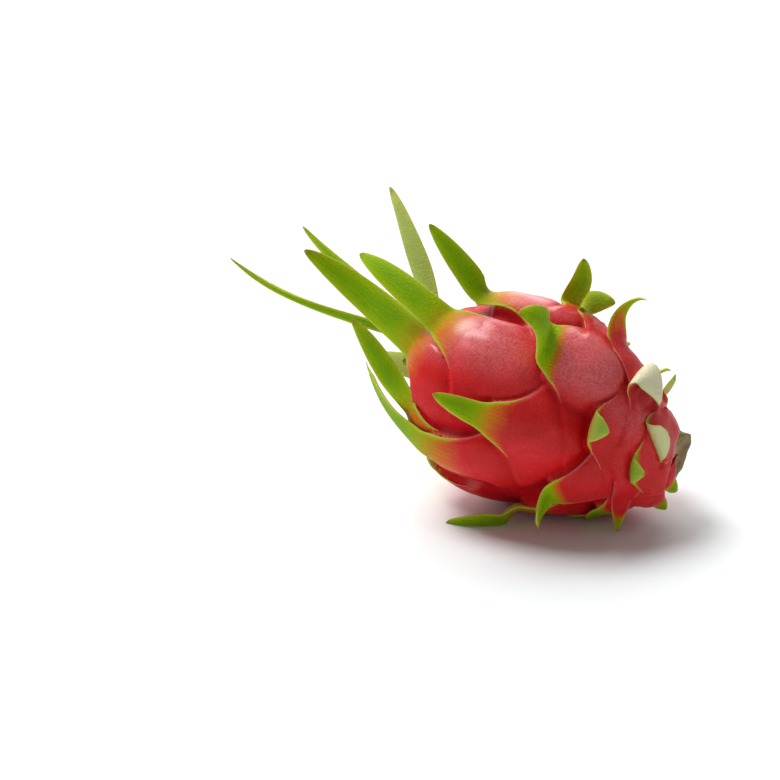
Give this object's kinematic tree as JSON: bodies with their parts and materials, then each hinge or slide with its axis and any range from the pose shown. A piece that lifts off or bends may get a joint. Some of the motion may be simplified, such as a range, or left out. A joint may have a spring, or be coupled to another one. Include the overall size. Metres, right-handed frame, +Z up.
{
  "type": "dragon fruit",
  "caption": "Whole dragon fruit lying on its side: pink-red egg-shaped body under overlapping scales with green leafy tips and a cut stalk.",
  "frame": {"origin": "a point of the flat spot that the fruit lies on", "axes": "+Z up; +X along the fruit towards its cut stalk; -Y towards the side seen in the picture"},
  "size_m": [0.1931, 0.1162, 0.1217],
  "materials": {
    "skin": "semi-gloss waxy skin, pink-red, with green scale tips",
    "stalk": "dull green stalk with brown corky cut",
    "scar": "matt, dry and brown"
  },
  "bodies": {
    "root": {"fruit": "skin", "stem_stub": "stalk", "flower_scar": "scar"}
  },
  "joints": []
}
